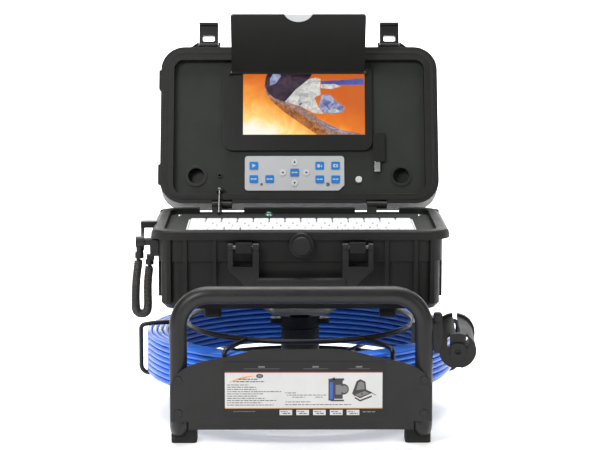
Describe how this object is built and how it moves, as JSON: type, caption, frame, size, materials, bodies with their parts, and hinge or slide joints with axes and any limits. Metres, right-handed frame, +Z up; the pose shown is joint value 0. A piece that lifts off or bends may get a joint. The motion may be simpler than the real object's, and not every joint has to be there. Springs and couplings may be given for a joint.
{
  "type": "pipe inspection camera",
  "caption": "Pipe inspection camera: a rugged control case with an open lid, screen and keyboard, on a tubular stand round a wire-basket reel of blue push cable.",
  "frame": {"origin": "on the floor under the middle of the stand", "axes": "+Z up, -Y towards the user who faces the open lid, +X to that user's right"},
  "size_m": [0.401, 0.4241, 0.4695],
  "materials": {
    "black_steel": "satin black powder coat",
    "case_plastic": "black moulded plastic, fine grain",
    "trim_plastic": "dark grey moulded plastic",
    "panel": "dark grey-green textured panel",
    "gloss_black": "gloss black",
    "rubber": "black rubber",
    "cable": "bright blue sheath",
    "wire": "black coated wire",
    "steel": "brushed",
    "zinc": "satin",
    "dark_steel": "darkened steel wire",
    "bracket": "light grey paint",
    "white_plastic": "white",
    "keypad": "light grey film",
    "blue_keys": "blue",
    "green": "translucent green",
    "screen": "lit picture",
    "glass": "clear",
    "label": "printed film",
    "board": "green circuit board",
    "battery": "blue shrink wrap"
  },
  "bodies": {
    "stand_and_case": {"front_hoop": "black_steel", "rear_hoop": "black_steel", "base_crossbars": "black_steel", "rubber_feet": "rubber", "front_plate": "black_steel", "plate_label": "label", "frame_bolts": "black_steel", "axle_post": "black_steel", "reel_bearings": "steel", "slip_ring": "trim_plastic", "case_bracket": "bracket", "case_feet": "rubber", "case_base": "case_plastic", "deck_panel": "panel", "deck_screws": "steel", "keyboard_tray": "white_plastic", "battery_pack": "battery", "main_board": "board", "power_bezel": "steel", "valve_body": "trim_plastic", "case_pins": "dark_steel", "side_socket": "trim_plastic", "lead_hanger": "trim_plastic", "lead_plugs": "trim_plastic", "curly_lead": "rubber", "camera_holder": "case_plastic", "holder_bracket": "black_steel"},
    "lid": {"lid_shell": "case_plastic", "lid_gasket": "rubber", "lid_panel": "panel", "monitor_housing": "gloss_black", "lcd_panel": "screen", "screen_glass": "glass", "keypad_membrane": "keypad", "usb_socket": "gloss_black", "panel_ports": "trim_plastic", "lid_pins": "steel"},
    "visor": {"sun_visor": "gloss_black", "visor_tab": "white_plastic"},
    "latch_left": {"latch_left": "trim_plastic"},
    "latch_right": {"latch_right": "trim_plastic"},
    "carry_handle": {"carry_handle": "trim_plastic"},
    "valve_knob": {"valve_knob": "trim_plastic"},
    "power_button": {"power_button": "green"},
    "menu_button": {"menu_button": "white_plastic"},
    "square_keys": {"square_keys": "blue_keys"},
    "arrow_keys": {"arrow_keys": "white_plastic"},
    "usb_stick": {"usb_stick": "zinc"},
    "lid_stay": {"lid_stay": "dark_steel"},
    "reel": {"reel_basket": "wire", "reel_hub": "trim_plastic", "cable_coil": "cable", "cable_tail": "cable", "camera_head": "steel"},
    "keys_row_1": {"keys_row_1": "white_plastic"},
    "keys_row_2": {"keys_row_2": "white_plastic"},
    "keys_row_3": {"keys_row_3": "white_plastic"},
    "keys_row_4": {"keys_row_4": "white_plastic"},
    "keys_row_5": {"keys_row_5": "white_plastic"},
    "keys_row_6": {"keys_row_6": "white_plastic"}
  },
  "joints": [
    {"name": "lid_hinge", "type": "hinge", "parent": "stand_and_case", "child": "lid", "pos_m": [0, 0.098, 0.232], "axis": [1, 0, 0], "range_deg": [0, 112]},
    {"name": "visor_fold", "type": "hinge", "parent": "lid", "child": "visor", "pos_m": [0, 0.16318, 0.39333], "axis": [1, 0, 0], "range_deg": [0, 126]},
    {"name": "stay_fold", "type": "hinge", "parent": "lid", "child": "lid_stay", "pos_m": [-0.1, 0.10457, 0.25092], "axis": [1, 0, 0], "range_deg": [-142.5, 0]},
    {"name": "latch_left_swing", "type": "hinge", "parent": "lid", "child": "latch_left", "pos_m": [-0.115, 0.18268, 0.42557], "axis": [1, 0, 0], "range_deg": [0, 90]},
    {"name": "latch_right_swing", "type": "hinge", "parent": "lid", "child": "latch_right", "pos_m": [0.115, 0.18268, 0.42557], "axis": [1, 0, 0], "range_deg": [0, 90]},
    {"name": "handle_lift", "type": "hinge", "parent": "stand_and_case", "child": "carry_handle", "pos_m": [0, -0.112, 0.211], "axis": [-1, 0, 0], "range_deg": [0, 110]},
    {"name": "valve_turn", "type": "hinge", "parent": "stand_and_case", "child": "valve_knob", "pos_m": [0.001, -0.112, 0.213], "axis": [0, -1, 0], "range_deg": [0, 270]},
    {"name": "reel_spin", "type": "hinge", "parent": "stand_and_case", "child": "reel", "pos_m": [0, -0.005, 0.06], "axis": [0, 0, 1], "continuous": true},
    {"name": "power_press", "type": "slide", "parent": "stand_and_case", "child": "power_button", "axis": [0, 0, -1], "range_m": [0, 0.002], "stiffness_N_per_m": 400},
    {"name": "menu_press", "type": "slide", "parent": "lid", "child": "menu_button", "axis": [0, 0.9272, -0.3746], "range_m": [0, 0.0015], "stiffness_N_per_m": 400},
    {"name": "square_keys_press", "type": "slide", "parent": "lid", "child": "square_keys", "axis": [0, 0.9272, -0.3746], "range_m": [0, 0.0004], "stiffness_N_per_m": 1500},
    {"name": "arrow_keys_press", "type": "slide", "parent": "lid", "child": "arrow_keys", "axis": [0, 0.9272, -0.3746], "range_m": [0, 0.0004], "stiffness_N_per_m": 1500},
    {"name": "usb_pull", "type": "slide", "parent": "lid", "child": "usb_stick", "axis": [0, -0.3746, -0.9272], "range_m": [0, 0.014]},
    {"name": "keys_row_1_press", "type": "slide", "parent": "stand_and_case", "child": "keys_row_1", "axis": [0, 0, -1], "range_m": [0, 0.0015], "stiffness_N_per_m": 2500},
    {"name": "keys_row_2_press", "type": "slide", "parent": "stand_and_case", "child": "keys_row_2", "axis": [0, 0, -1], "range_m": [0, 0.0015], "stiffness_N_per_m": 2500},
    {"name": "keys_row_3_press", "type": "slide", "parent": "stand_and_case", "child": "keys_row_3", "axis": [0, 0, -1], "range_m": [0, 0.0015], "stiffness_N_per_m": 2500},
    {"name": "keys_row_4_press", "type": "slide", "parent": "stand_and_case", "child": "keys_row_4", "axis": [0, 0, -1], "range_m": [0, 0.0015], "stiffness_N_per_m": 2500},
    {"name": "keys_row_5_press", "type": "slide", "parent": "stand_and_case", "child": "keys_row_5", "axis": [0, 0, -1], "range_m": [0, 0.0015], "stiffness_N_per_m": 2500},
    {"name": "keys_row_6_press", "type": "slide", "parent": "stand_and_case", "child": "keys_row_6", "axis": [0, 0, -1], "range_m": [0, 0.0015], "stiffness_N_per_m": 2500}
  ],
  "couplings": [
    {"joint": "visor_fold", "follows": "lid_hinge", "ratio": 1.125},
    {"joint": "stay_fold", "follows": "lid_hinge", "ratio": -1.27}
  ]
}
